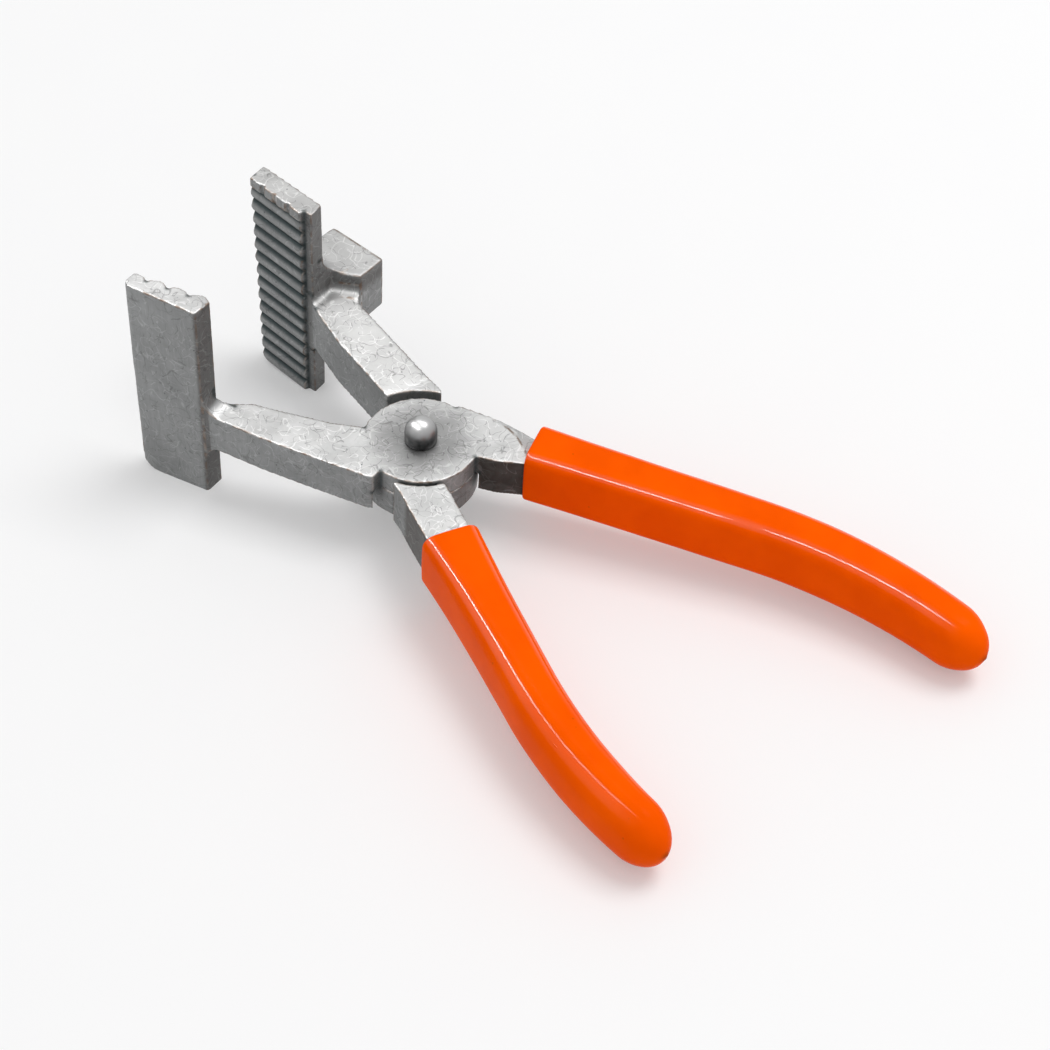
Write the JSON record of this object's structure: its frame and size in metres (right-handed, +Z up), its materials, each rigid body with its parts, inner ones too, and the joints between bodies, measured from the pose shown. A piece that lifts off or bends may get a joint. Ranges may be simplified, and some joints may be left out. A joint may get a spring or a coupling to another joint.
{
  "type": "leather stretching pliers",
  "caption": "Riveted pliers with broad upright jaws, ribbed and ridged inside, a hammer block on one jaw, and sleeved handles, for stretching leather.",
  "frame": {"origin": "on the pivot axis, where the rivet's head sits on the upper lever's top face", "axes": "+Z up the pivot axis out of the rivet's head, +X along the middle of the opening towards the jaws, +Y towards the plain jaw with the upright ribs"},
  "size_m": [0.2043, 0.1059, 0.06],
  "materials": {
    "lever_steel": "satin grey forged steel, finely scratched",
    "rivet_steel": "smooth, semi-bright",
    "sleeve_plastic": "glossy orange vinyl"
  },
  "bodies": {
    "plain_half": {"upper_lever": "lever_steel", "rivet": "rivet_steel", "upper_sleeve": "sleeve_plastic"},
    "ridged_half": {"lower_lever": "lever_steel", "lower_sleeve": "sleeve_plastic"}
  },
  "joints": [
    {"name": "jaw_pivot", "type": "hinge", "parent": "plain_half", "child": "ridged_half", "pos_m": [0, 0, 0], "axis": [0, 0, 1], "range_deg": [-12, 35]}
  ]
}
